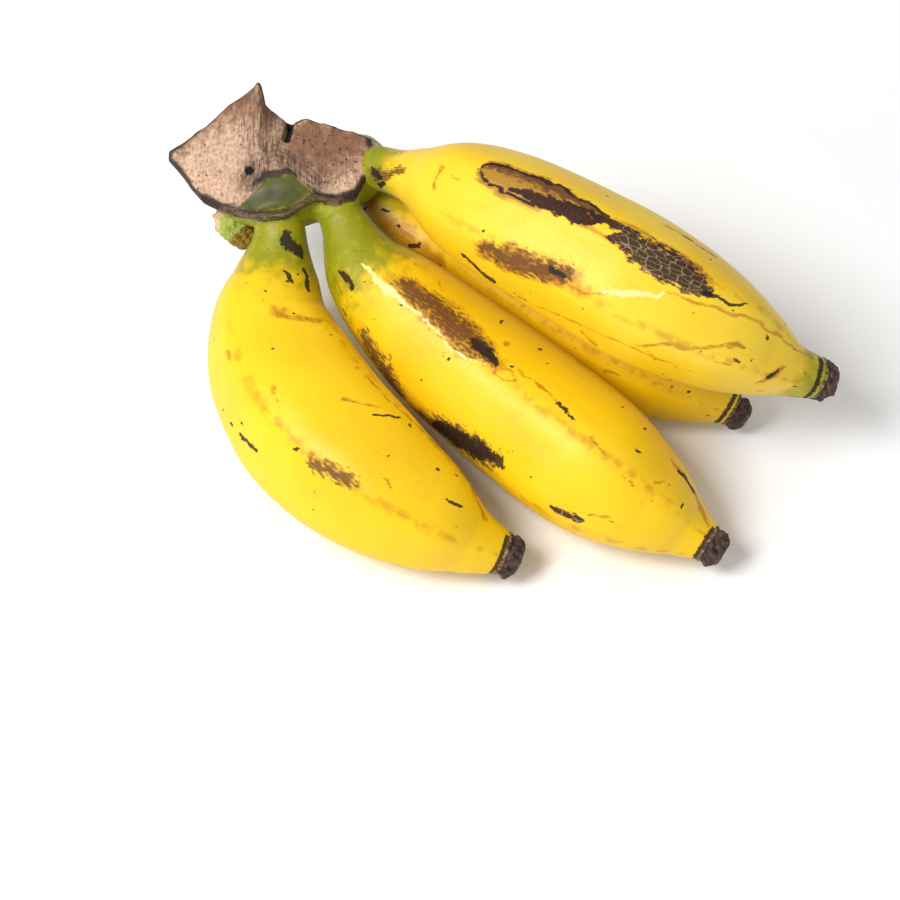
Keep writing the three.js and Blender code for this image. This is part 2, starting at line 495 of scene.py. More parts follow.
@dataclass(frozen=True)
class RipePeel:
    """Ripe banana peel: a wax-coated skin, so it is saturated and softly glossy, and browns where it was
    worn. Painted sheen lightens the upper sides, and painted shade and a painted highlight lie on some
    fruits.
    """

    fresh: str = "ECC100"
    ripe: str = "DCA200"
    # Pale yellow of the painted sheen.
    sheen_yellow: str = "EDCB3C"
    green: str = "7E8406"
    deep_green: str = "5F7C0C"
    # Brown for wear and stains, and for painted shade on the lower fruit's neck.
    rubbed_and_shade: str = "A5590A"
    # Dark brown for smudges and freckles, and for painted shade between the left and middle fruits.
    smudge_and_shade_brown: str = "5C3418"
    dead: str = "150E0B"
    netted: str = "2E0B05"
    rusty: str = "8A400E"
    scalded: str = "9A6A22"
    net_line: str = "84705F"
    # Pale cream for pale patches and for a painted highlight streak.
    pale_patch_and_highlight: str = "F2DF9A"
    net_cell: float = 1.15
    waviness: float = 1.1

    def material(self) -> bpy.types.Material:
        """Mixes the peel.

        Returns:
            The material.
        """
        recipe = Recipe("ripe_banana_peel", ior=1.38, coat=0.04, coat_roughness=0.25)
        unrolled = recipe.node("ShaderNodeUVMap", {}, uv_map=UV_NAME).outputs["UV"]
        unrolled = recipe.node("ShaderNodeVectorMath", {0: unrolled, "Scale": UV_METRES}, operation="SCALE")
        unrolled = unrolled.outputs["Vector"]
        wide = recipe.grain(22)
        mottle = recipe.grain(3.2, detail=5)
        fine = recipe.grain(0.7, detail=4)
        speckle = recipe.grain(0.9, place=unrolled, stretch=(1.8, 1, 1), detail=6)
        fibres = recipe.grain(0.9, place=unrolled, stretch=(14, 1, 1))

        colour = recipe.blend(recipe.ramp(wide, 0.4, 0.75, 0, 0.4), shade(self.fresh), shade(self.ripe))
        # Painted sheen: a paler yellow on each fruit's upper, front-left side, standing in for the soft
        # highlight there.
        painted_sheen = recipe.sums("MULTIPLY", recipe.mark("painted_sheen"), recipe.ramp(wide, 0.3, 0.6, 1, 0.35))
        colour = recipe.blend(painted_sheen, colour, shade(self.sheen_yellow))
        colour = recipe.blend(recipe.ramp(fibres, 0.5, 0.75, 0, 0.22), colour, shade(self.ripe))

        greenness = recipe.varied(recipe.mark("green"), mottle, 1.1)
        colour = recipe.blend(recipe.ramp(greenness, 0.1, 1.0, 0, 0.92), colour, shade(self.green))
        greener = recipe.varied(greenness, fine, 1.6)
        colour = recipe.blend(recipe.ramp(greener, 0.95, 1.4, 0, 0.45), colour, shade(self.deep_green))
        dot = recipe.ramp(recipe.cells(2.4, "F1"), 0.1, 0.2, 1, 0)
        dot = recipe.sums("MULTIPLY", dot, recipe.ramp(greenness, 0.2, 0.6))
        colour = recipe.blend(recipe.sums("MULTIPLY", dot, 0.8), colour, shade(self.deep_green))

        ridge = recipe.sums("MULTIPLY", recipe.mark("ridge"), recipe.ramp(mottle, 0.42, 0.62))
        colour = recipe.blend(recipe.sums("MULTIPLY", ridge, 0.45), colour, shade(self.rubbed_and_shade))

        freckle = recipe.ramp(recipe.cells(5.2, "F1"), 0.035, 0.085, 1, 0)
        freckle = recipe.sums("MULTIPLY", freckle, recipe.ramp(recipe.grain(9), 0.5, 0.6))
        colour = recipe.blend(recipe.sums("MULTIPLY", freckle, 0.75), colour, shade(self.smudge_and_shade_brown))

        scald = recipe.varied(recipe.mark("scald"), fibres, 0.5)
        colour = recipe.blend(recipe.ramp(scald, 0.1, 0.4, 0, 0.88), colour, shade(self.scalded))
        # Brown for stains and worn ridges; one wide mark on the lower fruit's neck is painted shade.
        rubbed_and_shade = self.edged(recipe, "stain_and_shade", mottle, 1.6, 0.05, 0.75)
        rubbed_and_shade = recipe.sums("MULTIPLY", rubbed_and_shade, recipe.ramp(fibres, 0.3, 0.7, 0.4, 0.85))
        colour = recipe.blend(rubbed_and_shade, colour, shade(self.rubbed_and_shade))
        # Smudges, and painted shade where the fruits lie against each other, in one dark brown.
        smudge_and_shade = self.edged(recipe, "smudge_and_shade", speckle, 2.6, 0.1, 0.8)
        colour = recipe.blend(recipe.sums("MULTIPLY", smudge_and_shade, 0.88), colour, shade(self.smudge_and_shade_brown))

        netted = self.edged(recipe, "net", speckle, 2.0, 0.12, 0.36)
        wavy = recipe.sums("MULTIPLY", recipe.grain(2.4, detail=2), self.waviness * MM)
        wavy = recipe.node("ShaderNodeVectorMath", {0: unrolled, 1: wavy}, operation="ADD")
        line = recipe.cells(self.net_cell, "DISTANCE_TO_EDGE", wavy.outputs["Vector"], (1.9, 1, 1))
        line = recipe.ramp(line, 0.03, 0.085, 1, 0)
        line = recipe.sums("MULTIPLY", line, recipe.ramp(mottle, 0.3, 0.44))
        net = recipe.blend(recipe.ramp(recipe.mark("net"), 0.1, 0.4), shade(self.rusty), shade(self.netted))
        net = recipe.blend(recipe.ramp(fine, 0.42, 0.62, 0, 0.35), net, shade(self.dead))
        net = recipe.blend(recipe.sums("MULTIPLY", line, recipe.mark("mesh")), net, shade(self.net_line))
        colour = recipe.blend(recipe.sums("MULTIPLY", netted, 0.96), colour, net)

        dead = self.edged(recipe, "bruise", fine, 1.2, 0.14, 0.42)
        dark = recipe.blend(recipe.ramp(speckle, 0.52, 0.72), shade(self.dead), shade(self.netted))
        colour = recipe.blend(recipe.sums("MULTIPLY", dead, 0.93), colour, dark)
        # Pale patches, with a painted highlight streak among them.
        pale_patch_and_highlight = self.edged(recipe, "pale", fine, 1.6, 0.1, 0.6)
        colour = recipe.blend(recipe.sums("MULTIPLY", pale_patch_and_highlight, 0.8), colour, shade(self.pale_patch_and_highlight))

        damage = recipe.sums("MAXIMUM", dead, recipe.sums("MAXIMUM", netted, smudge_and_shade))
        roughness = recipe.ramp(fine, 0.3, 0.7, 0.4, 0.52)
        roughness = recipe.sums("MULTIPLY_ADD", damage, 0.24, roughness)
        height = recipe.sums("MULTIPLY_ADD", fibres, 0.35, recipe.sums("MULTIPLY", fine, 0.3))
        height = recipe.sums("MULTIPLY_ADD", recipe.sums("MULTIPLY", netted, line), 0.6, height)
        height = recipe.sums("MULTIPLY_ADD", damage, recipe.sums("MULTIPLY", fine, 0.9), height)
        return recipe.finish(colour, roughness, height, 0.16)

    def edged(
        self,
        recipe: Recipe,
        name: str,
        grain: bpy.types.NodeSocket,
        raggedness: float,
        low: float,
        high: float,
    ) -> bpy.types.NodeSocket:
        """A blemish with a ragged edge.

        Args:
            recipe: The material being mixed.
            name: The vertex value that is 1 in the blemish's middle and falls to 0 at its edge.
            grain: Noise that breaks the edge up.
            raggedness: How much it does.
            low: The value where the blemish starts to show.
            high: The value where it is whole.

        Returns:
            How much of the blemish shows.
        """
        field_value = recipe.mark(name)
        shifted = recipe.sums("MULTIPLY", recipe.sums("SUBTRACT", grain, 0.5), raggedness)
        shifted = recipe.sums("MULTIPLY_ADD", recipe.ramp(field_value, 0.0, 0.12), shifted, field_value)
        return recipe.ramp(shifted, low, high)


@dataclass(frozen=True)
class CutCrown:
    """Cut and dried stalk tissue over green skin: matt and fibrous where cut, leathery where skin is left,
    with shade painted under the rim and in the hole and the crack.
    """

    dried: str = "D0B094"
    pink: str = "B08C72"
    brown: str = "694A35"
    edge: str = "241A17"
    hollow_shade: str = "0D0907"
    # Near black painted shade in the hole and the crack.
    pitted: str = "45261A"
    rusty: str = "75492F"
    skin: str = "969A08"
    # Darker green of the painted shade under the rim.
    shaded_skin: str = "4A4E0A"
    fibre: float = 0.5

    def material(self) -> bpy.types.Material:
        """Mixes the crown's surface.

        Returns:
            The material.
        """
        recipe = Recipe("cut_banana_crown", ior=1.45)
        wide = recipe.grain(9)
        mottle = recipe.grain(2.2, detail=5)
        fine = recipe.grain(0.8, detail=5)
        fibres = recipe.grain(self.fibre, stretch=(1, 7, 7), detail=4)
        fibrous = recipe.mark("fibrous")

        cut = recipe.blend(recipe.ramp(fine, 0.35, 0.65), shade(self.pink), shade(self.dried))
        cut = recipe.blend(recipe.ramp(mottle, 0.52, 0.72, 0, 0.45), cut, shade(self.brown))
        weather = recipe.varied(recipe.mark("weathered"), mottle, 1.2)
        cut = recipe.blend(recipe.ramp(weather, 0.1, 0.9, 0, 0.85), cut, shade(self.rusty))
        streaks = recipe.ramp(fibrous, 0.1, 0.8, 0, 0.85)
        streaks = recipe.sums("MULTIPLY", recipe.ramp(fibres, 0.42, 0.62), streaks)
        cut = recipe.blend(streaks, cut, shade(self.brown))
        cut = recipe.blend(recipe.sums("MULTIPLY", fibrous, 0.3), cut, shade(self.brown))
        cut = recipe.blend(recipe.sums("MULTIPLY", recipe.mark("lines"), 0.6), cut, shade(self.edge))
        pit = recipe.ramp(recipe.cells(1.7, "F1"), 0.12, 0.26, 1, 0)
        pit = recipe.sums("MULTIPLY", pit, recipe.ramp(wide, 0.42, 0.56, 0.0, 0.85))
        cut = recipe.blend(pit, cut, shade(self.pitted))

        # Painted shade: the green skin under the middle of the rim goes darker, to near black at its centre.
        dark = recipe.varied(recipe.mark("under_rim_shade"), mottle, 1.1)
        skin = recipe.blend(recipe.ramp(dark, 0, 0.5, 0.1, 1), shade(self.skin), shade(self.shaded_skin))
        skin = recipe.blend(recipe.ramp(dark, 0.6, 1.2, 0, 0.5), skin, shade(self.edge))
        skin = recipe.blend(recipe.ramp(fine, 0.62, 0.72, 0, 0.6), skin, shade(self.brown))
        colour = recipe.blend(recipe.mark("cut"), skin, cut)

        rim = recipe.varied(recipe.mark("rim"), fine, 0.7)
        dry = recipe.ramp(recipe.grain(0.5, stretch=(5, 1, 1)), 0.4, 0.6)
        dry = recipe.blend(dry, shade(self.brown), shade(self.edge))
        colour = recipe.blend(recipe.ramp(rim, 0.2, 0.5, 0, 0.92), colour, dry)
        edge = recipe.varied(recipe.mark("edge"), mottle, 0.6)
        colour = recipe.blend(recipe.ramp(edge, 0.15, 0.75, 0, 0.92), colour, shade(self.edge))
        # Painted shade: the hole and the crack near black.
        colour = recipe.blend(recipe.ramp(recipe.mark("hollow_shade"), 0.25, 0.6), colour, shade(self.hollow_shade))

        roughness = recipe.ramp(recipe.mark("cut"), 0, 1, 0.5, 0.82)
        height = recipe.sums("MULTIPLY_ADD", fibres, 0.8, recipe.sums("MULTIPLY", fine, 0.6))
        height = recipe.sums("MULTIPLY", height, recipe.ramp(recipe.mark("cut"), 0, 1, 0.08, 1.0))
        return recipe.finish(colour, roughness, height, 0.45)


@dataclass(frozen=True)
class TornStalk:
    """A torn green stalk, drying from its ragged edge: dull, stringy, pale green going ochre and tan."""

    green: str = "98A548"
    ochre: str = "8A6D1E"
    frayed: str = "CDB182"

    def material(self) -> bpy.types.Material:
        """Mixes the torn stalk.

        Returns:
            The material.
        """
        recipe = Recipe("torn_banana_stalk", ior=1.45)
        mottle = recipe.grain(2.5, detail=5)
        strings = recipe.grain(0.6, stretch=(1, 1, 5))
        drying = recipe.varied(recipe.mark("drying"), mottle, 1.2)
        colour = recipe.blend(recipe.ramp(drying, 0.25, 0.7), shade(self.green), shade(self.ochre))
        colour = recipe.blend(recipe.ramp(recipe.mark("fray"), 0.3, 0.8), colour, shade(self.frayed))
        colour = recipe.blend(recipe.ramp(strings, 0.52, 0.7, 0, 0.4), colour, shade(self.ochre))
        height = recipe.sums("ADD", strings, mottle)
        return recipe.finish(colour, recipe.ramp(mottle, 0.3, 0.7, 0.6, 0.8), height, 0.5)


@dataclass(frozen=True)
class DriedFlower:
    """The dried remnant of the flower: crumpled, nearly black, with tan fibres on its folds and rim."""

    black: str = "261A15"
    purple: str = "5A4036"
    fibre: str = "A98462"

    def material(self) -> bpy.types.Material:
        """Mixes the dried flower.

        Returns:
            The material.
        """
        recipe = Recipe("dried_flower_remnant", ior=1.45)
        mottle = recipe.grain(1.4, detail=5)
        strings = recipe.grain(0.5, stretch=(4, 1.5, 1.5))
        colour = recipe.blend(recipe.ramp(mottle, 0.4, 0.62), shade(self.black), shade(self.purple))
        shown = recipe.varied(recipe.mark("crest"), strings, 2.2)
        colour = recipe.blend(recipe.ramp(shown, 0.5, 1.0, 0, 0.85), colour, shade(self.fibre))
        height = recipe.sums("ADD", strings, mottle)
        return recipe.finish(colour, recipe.ramp(mottle, 0.3, 0.7, 0.62, 0.85), height, 0.5)


# The fruits


class Blemish(Enum):
    """What has happened to a place on the peel, and where shade and a highlight are painted on it. The value
    names its vertex attribute.
    """

    STAIN_AND_SHADE = "stain_and_shade"
    SMUDGE_AND_SHADE = "smudge_and_shade"
    BRUISE = "bruise"
    NET = "net"
    PALE_AND_HIGHLIGHT = "pale"
    SCALD = "scald"


@dataclass(frozen=True)
class Mark:
    """A blemish along a path on the unrolled peel; a few marks are painted shade and painted highlight
    instead.

    Attributes:
        kind: What it is.
        path: Its corners: millimetres from the neck's root, and degrees from the top.
        widths: Its width in millimetres at each corner.
    """

    kind: Blemish
    path: tuple[tuple[float, float], ...]
    widths: tuple[float, ...]

    def strength(self, along: Values, angle: Values, radius: Values) -> Values:
        """How deep in the blemish each place lies.

        Args:
            along: Millimetres from the neck's root.
            angle: Radians from the top.
            radius: The fruit's half-width there.

        Returns:
            1 in the middle of the blemish, falling to 0 at its edge.
        """
        first = math.radians(self.path[0][1])
        near = (angle - first + math.pi) % (2 * math.pi) - math.pi + first
        places = np.stack([along, near * radius], axis=-1)
        corners = [
            np.stack([np.full(len(along), distance), math.radians(degrees) * radius], axis=-1)
            for distance, degrees in self.path
        ]
        away, place = path_distance(places, np.array(corners))
        width = np.interp(place, range(len(self.widths)), self.widths)
        return np.clip(1 - 2 * away / width, 0, 1)


def spots(kind: Blemish, *places: tuple[float, float, float]) -> tuple[Mark, ...]:
    """Round blemishes, each with its millimetres from the root, degrees from the top, and width."""
    return tuple(Mark(kind, ((along, turn),), (width,)) for along, turn, width in places)


def ring(edge: float, middle: float, width: float) -> Mark:
    """The dark line round the peel's end, under the dried flower.

    Args:
        edge: How far along the fruit it lies on the underside, in millimetres.
        middle: How far along it lies elsewhere.
        width: Its width in millimetres.

    Returns:
        The blemish.
    """
    path = ((edge, -160), (middle, -80), (middle, 0), (middle, 80), (edge, 160))
    return Mark(Blemish.BRUISE, path, (width,) * len(path))


@dataclass
class Finger:
    """One fruit with its neck, and the dried flower at its tip.

    Attributes:
        name: Which fruit of the hand.
        stations: x, y, z on its centre line and its half-width, in millimetres, from the crown to the tip.
        ridges: Where its ridges run, in degrees from the top.
        ridge_height: How far they stand out, as a share of the half-width.
        green_neck: Where the neck's green starts to fade and where it ends, in millimetres from the root.
        green_tip: How green the tip is.
        painted_sheen: How strongly painted sheen, a paler yellow standing in for the soft highlight, lightens
            its upper side.
        marks: Its own blemishes, a few of them painted shade and painted highlight.
        seed: For the small freckles that every fruit has.
    """

    name: str
    stations: tuple[tuple[float, ...], ...]
    ridges: tuple[float, ...]
    ridge_height: float
    green_neck: tuple[float, float]
    green_tip: float
    painted_sheen: float
    marks: tuple[Mark, ...]
    seed: int
    faces_along: int = 380
    faces_around: int = 220
    line: GrownLine = field(init=False)

    RIDGE_SHARPNESS = 2.5
    RIDGE_START = 0.12
    RIDGE_RISE = 0.18
    RIDGE_FADE = 0.06
    ROOT_LENGTH = 6.0

    def __post_init__(self) -> None:
        """Runs the centre line through the stations."""
        self.line = GrownLine(self.stations)

    def ridge_phase(self, angle: Values) -> Values:
        """How near each angle is to a ridge: 1 on it, 0 midway between two."""
        turns = np.array([*self.ridges, self.ridges[0] + 360.0]) - self.ridges[0]
        degrees = (np.degrees(angle) - self.ridges[0]) % 360
        between = np.interp(degrees, turns, range(len(turns))) % 1
        return np.abs(np.cos(math.pi * between))

    def half_width(self, share: Values, angle: Values) -> Values:
        """The distance from the centre line to the peel.

        Args:
            share: Where along the fruit.
            angle: Radians from the top.

        Returns:
            The distance in millimetres.
        """
        bump = self.ridge_phase(angle) ** self.RIDGE_SHARPNESS
        grown = np.clip((share - self.RIDGE_START) / self.RIDGE_RISE, 0, 1)
        sunk = np.sqrt(np.clip((1 - share) / self.RIDGE_FADE, 0, 1))
        root = 0.55 + 0.45 * smooth_step(0, self.ROOT_LENGTH / self.line.length, share)
        return root * self.line.column(share, 3) * (1 + self.ridge_height * grown * sunk * (bump - 0.4))

    def place(self, share: Values, angle: Values) -> Points:
        """The peel's points, flat where the belly rests and a little uneven everywhere."""
        points = self.line.around(share, angle, self.half_width(share, angle))
        uneven = 0.16 * lattice_noise(points, 9, self.seed) - 0.16
        fade = smooth_step(0.0, 0.15, share) * smooth_step(0.0, 0.06, 1 - share)
        points = self.line.around(share, angle, self.half_width(share, angle) + uneven * fade)
        points[..., 2] = np.maximum(points[..., 2], 0)
        return points

    def build(self, peel: bpy.types.Material, flower: bpy.types.Material) -> None:
        """Makes the fruit and the dried flower at its tip.

        Args:
            peel: The peel's material.
            flower: The dried flower's material.
        """
        fruit = rolled_sheet(f"banana_{self.name}", self.faces_along, self.faces_around, self.place)
        self.unroll(fruit)
        self.blemish(fruit)
        settle(fruit, f"finger_{self.name}", peel)
        settle(self.blossom_end(), f"blossom_end_{self.name}", flower)

    def unroll(self, fruit: bpy.types.Object) -> None:
        """Lays the UV map out in real lengths, along and around the fruit."""
        layer = fruit.data.uv_layers[UV_NAME].uv
        flat = np.empty(len(layer) * 2, np.float32)
        layer.foreach_get("vector", flat)
        widest = float(self.line.rows[:, 3].max())
        spans = np.array([self.line.length, 2 * math.pi * widest]) * MM / UV_METRES
        layer.foreach_set("vector", (flat.reshape(-1, 2) * spans).astype(np.float32).ravel())

    def blemish(self, fruit: bpy.types.Object) -> None:
        """Keeps the blemishes with the painted shade and highlight marks, the ridges, the green and the
        painted sheen on the fruit's vertices, and sinks its scars.
        """
        share, angle = read_values(fruit, "share"), read_values(fruit, "turn")
        along, radius = share * self.line.length, self.line.column(share, 3)
        points = read_points(fruit)
        depth = np.zeros(len(share))
        write_values(fruit, "ridge", self.ridge_phase(angle) ** 60 * smooth_step(0.2, 0.4, share))
        bend = (along > 4) & (along < self.line.length - 6)
        wander = []
        for axis in (1, 2):
            broad, small = lattice_noise(points, 3.6, self.seed + axis), lattice_noise(points, 1.3, axis)
            wander.append(bend * (0.9 * broad + 0.45 * small))
        along, angle = along + 1.3 * wander[0], angle + 0.8 * wander[1] / radius
        every = (*self.marks, *self.freckles())
        for kind in Blemish:
            found = [mark.strength(along, angle, radius) for mark in every if mark.kind is kind]
            strength = np.max([np.zeros(len(share)), *found], axis=0)
            write_values(fruit, kind.value, strength)
            if kind in (Blemish.BRUISE, Blemish.NET):
                depth = np.maximum(depth, smooth_step(0.1, 0.7, strength))
        write_values(fruit, "mesh", smooth_step(74, 79, along))
        neck = 1 - smooth_step(*self.green_neck, along)
        tip = self.green_tip * smooth_step(self.line.length - 13, self.line.length - 4, along)
        write_values(fruit, "green", np.maximum(neck, tip))
        # Painted sheen, strongest on the top tilted a little towards the front-left, where the highlight
        # falls.
        write_values(fruit, "painted_sheen", self.painted_sheen * (0.5 + 0.5 * np.cos(angle + 0.6)))
        sunk = points - 0.12 * depth[:, None] * read_normals(fruit)
        sunk[:, 2] = np.maximum(sunk[:, 2], 0)
        write_points(fruit, sunk)

    def freckles(self) -> list[Mark]:
        """The small dots, nicks and streaks that age a peel.

        Returns:
            Seeded marks all round the fruit.
        """
        chance = np.random.default_rng(self.seed)
        marks = []
        for _ in range(46):
            spot = (chance.uniform(0.1, 0.97) * self.line.length, chance.uniform(-180, 180))
            marks.append(Mark(Blemish.BRUISE, (spot,), (chance.uniform(0.5, 1.1),)))
        for _ in range(14):
            start, turn = chance.uniform(0.15, 0.9) * self.line.length, chance.uniform(-180, 180)
            end = (start + chance.uniform(1, 5), turn + chance.uniform(-9, 9))
            marks.append(Mark(Blemish.STAIN_AND_SHADE, ((start, turn), end), (chance.uniform(0.5, 1.2), 0.4)))
        for _ in range(5):
            start, turn = chance.uniform(0.2, 0.9) * self.line.length, chance.uniform(100, 260)
            end = (start + chance.uniform(3, 14), turn + chance.uniform(-14, 14))
            kind = chance.choice([Blemish.SMUDGE_AND_SHADE, Blemish.STAIN_AND_SHADE, Blemish.BRUISE])
            marks.append(Mark(kind, ((start, turn), end), (chance.uniform(2, 5), chance.uniform(1, 3))))
        return marks

    def blossom_end(self) -> bpy.types.Object:
        """The dried flower: a crumpled knob with a raised rim and a sunken end.

        Returns:
            The knob, with its crests kept on its vertices.
        """
        tangent, side, top = (axis[0] for axis in self.line.directions(np.array([1.0])))
        tip = self.line.centre(np.array([1.0]))[0]
        width = float(self.stations[-1][3])
        profile = GrownLine(
            (
                (-0.9, 0.80, 0),
                (-0.4, 0.98, 0),
                (0.3, 1.02, 0),
                (1.0, 0.93, 0),
                (2.2, 0.96, 0),
                (3.5, 0.86, 0),
                (4.5, 0.66, 0),
                (4.9, 0.42, 0),
                (4.2, 0.26, 0),
                (4.0, 0.02, 0),
            )
        )

        def place(share: Values, angle: Values) -> Points:
            """The knob's points."""
            ahead, reach = profile.column(share, 0), profile.column(share, 1) * width
            folds = 0.07 * np.sin(5 * angle + self.seed) + 0.05 * np.sin(11 * angle + 2 * ahead + self.seed)
            reach = reach * (1 + folds * smooth_step(0.2, 0.45, share))
            outward = np.cos(angle)[:, None] * top + np.sin(angle)[:, None] * side
            points = tip + ahead[:, None] * tangent + reach[:, None] * outward
            broad, small = lattice_noise(points, 1.3, self.seed), lattice_noise(points, 0.6, self.seed + 1)
            crumple = (0.28 * broad + 0.16 * small) * smooth_step(0.12, 0.3, share)
            return points + crumple[:, None] * (outward + 0.5 * tangent)

        knob = rolled_sheet(f"dried_flower_{self.name}", 70, 110, place)
        share, angle = read_values(knob, "share"), read_values(knob, "turn")
        rim = smooth_step(0.08, 0.14, share) * (1 - smooth_step(0.2, 0.28, share))
        lip = smooth_step(0.62, 0.7, share) * (1 - smooth_step(0.78, 0.86, share))
        folds = 0.5 + 0.5 * np.sin(11 * angle + self.seed)
        write_values(knob, "crest", 0.75 * rim + lip * 0.7 * folds)
        return knob


# The crown


@dataclass
class Crown:
    """The cut crown: a flat cut layer in two lobes over the green cushion that the necks grow from.

    Attributes:
        layer: x, y, z of the cut layer's middle, half its depth and thickness, and its tip in degrees.
        cushion: x, y, z and half-width of the cushion, in millimetres.
        necks: The fruits whose necks it holds.
    """

    layer: tuple[tuple[float, ...], ...]
    cushion: tuple[tuple[float, ...], ...]
    necks: tuple[Finger, ...]
    voxel: float = 0.42
    collar: float = 0.9
    collar_length: float = 7.0
    joint_passes: int = 3
    skin_passes: int = 40

    CRACK = ((-51.4, 54, 49.5), (-51.7, 49.5, 49.6), (-52.3, 46.2, 49.6))
    HOLE = ((-61.3, 38.4, 46.4),)
    RIM = (
        (-72.5, 35.8, 38.5),
        (-69.2, 33.2, 38.5),
        (-64.5, 30, 40),
        (-59.3, 27.1, 42.3),
        (-55.7, 25.9, 43.7),
        (-52.3, 26.4, 44),
        (-48.3, 29, 44.2),
        (-44.5, 31.3, 44.4),
        (-40, 31, 43.6),
        (-36, 33, 43),
    )
    # The hole and the crack are painted shade.
    DEEPEST = 43.0  # the hole and the crack are dark down to this height
    SADDLE_LINES = 5.5  # radians a millimetre between the curved lines at the saddle
    # Where painted shade darkens the skin below the rim.
    UNDER_RIM_SHADE = ((-66, 31.5, 42), (-58, 31, 44.5), (-51, 33, 45.5))
    WEATHERED = ((-78, 50, 45), (-70, 53, 49), (-62, 56, 54), (-58, 52, 53))
    BROWN_LOBE = ((-47, 47, 48), (-42, 44, 47), (-38, 46, 47))
    SADDLE = (
        (-61.5, 35.5, 45.5),
        (-58.5, 40, 47.5),
        (-55, 40.9, 49),
        (-51.5, 40, 49),
        (-48, 37.5, 48),
        (-45, 35, 47),
    )
    PEAK = ((-58.6, 56, 56.5), (-60.5, 48, 52.5), (-58, 44, 50.5))

    def cut_point(self, share: Values, angle: Values) -> Points:
        """Points on the cut layer: squared slices, each tipped towards the front."""
        line = GrownLine(self.layer)
        soften = 0.45
        across = line.column(share, 3) * np.sign(np.sin(angle)) * np.abs(np.sin(angle)) ** soften
        thick = line.column(share, 4) * np.sign(np.cos(angle)) * np.abs(np.cos(angle)) ** soften
        tip = np.radians(line.column(share, 5))
        shift = np.stack(
            [
                np.zeros(len(share)),
                across * np.cos(tip) - thick * np.sin(tip),
                across * np.sin(tip) + thick * np.cos(tip),
            ],
            axis=-1,
        )
        return line.centre(share) + shift

    def cushion_point(self, share: Values, angle: Values) -> Points:
        """Points on the cushion under the cut layer."""
        line = GrownLine(self.cushion)
        return line.around(share, angle, line.column(share, 3))

    def lip_point(self, share: Values, angle: Values) -> Points:
        """Points on the lip along the cushion's brown rim."""
        line = GrownLine(tuple((*corner, 1.0) for corner in self.RIM))
        return line.around(share, angle, np.full(len(share), 0.7))

    def build(self, finish: bpy.types.Material) -> None:
        """Grows the parts together, carves and colours them.

        Args:
            finish: The crown's material.
        """
        parts = [
            rolled_sheet("cut_layer", 90, 90, self.cut_point),
            rolled_sheet("cushion", 60, 60, self.cushion_point),
            rolled_sheet("rim_lip", 120, 16, self.lip_point),
            *(self.neck_collar(finger) for finger in self.necks),
        ]
        crown = self.softened(self.joined(parts))
        self.carve(crown)
        self.colour(crown)
        settle(crown, "crown", finish)

    def neck_collar(self, finger: Finger) -> bpy.types.Object:
        """The crown's skin drawn out thinly over a neck.

        Args:
            finger: The fruit whose neck it is.

        Returns:
            A tapered sleeve around the neck.
        """
        reach = self.collar_length / finger.line.length

        def place(share: Values, angle: Values) -> Points:
            """The sleeve's points."""
            extra = (self.collar + 0.35) * (1 - share) ** 1.5 - 0.35
            dome = 0.45 + 0.55 * smooth_step(0, 0.4, share)
            sleeve = dome * (finger.line.column(share * reach, 3) + extra)
            return finger.line.around(share * reach, angle, sleeve)

        return rolled_sheet(f"collar_{finger.name}", 24, 48, place)

    def joined(self, parts: list[bpy.types.Object]) -> bpy.types.Object:
        """One skin over all the parts.

        Args:
            parts: Closed, overlapping pieces, which are used up.

        Returns:
            The crown, remeshed and softened.
        """
        bm = bmesh.new()
        for part in parts:
            bm.from_mesh(part.data)
            bpy.data.objects.remove(part)
        rough = finished("crown_parts", bm)
        remesh = rough.modifiers.new("one_skin", "REMESH")
        remesh.mode = "VOXEL"
        remesh.voxel_size = self.voxel * MM
        solid = bpy.data.meshes.new_from_object(rough.evaluated_get(bpy.context.evaluated_depsgraph_get()))
        bpy.data.objects.remove(rough)
        bm = bmesh.new()
        bm.from_mesh(solid)
        relax(bm, list(bm.verts), self.joint_passes)
        return finished("joined_crown", bm)

    def softened(self, crown: bpy.types.Object) -> bpy.types.Object:
        """Draws the skin smoothly from one neck to the next, and leaves the cut and the rim crisp.

        Args:
            crown: The joined crown, which is used up.

        Returns:
            The crown with its skin smoothed.
        """
        points = read_points(crown)
        rim, _ = path_distance(points, np.array(self.RIM))
        edge, _ = path_distance(points, self.outline())
        loose = (self.cut_share(points, read_normals(crown)) < 0.05) & (rim > 1.3) & (edge > 1.5)
        bm = bmesh.new()
        bm.from_mesh(crown.data)
        bpy.data.objects.remove(crown)
        skin = [vert for vert, free in zip(bm.verts, loose) if free]
        relax(bm, skin, self.skin_passes)
        return finished("banana_crown", bm)

    def carve(self, crown: bpy.types.Object) -> None:
        """Sinks the crack and the hole, raises the rim, and roughens the cut and its edge."""
        points, normals = read_points(crown), read_normals(crown)
        crack, hole = self.beside(points, self.CRACK), self.beside(points, self.HOLE)
        rim, _ = path_distance(points, np.array(self.RIM))
        cut = self.cut_share(points, normals)
        push = 0.55 * fading(rim, 0.8) - 1.9 * fading(hole, 1.5)
        push -= 2.2 * fading(crack, 0.55) * smooth_step(0.2, 0.6, normals[:, 2])
        stretched = points * np.array([1, 0.25, 1])
        saddle, _ = path_distance(points, np.array(self.SADDLE))
        push += cut * 0.22 * np.sin(saddle * self.SADDLE_LINES) * fading(saddle, 3.2)
        push += cut * (0.25 * lattice_noise(stretched, 0.9, 5) + 0.3 * lattice_noise(points, 3.5, 6) - 0.3)
        push += (1 - cut) * 0.15 * lattice_noise(points, 2.5, 7)
        write_points(crown, points + push[:, None] * normals)

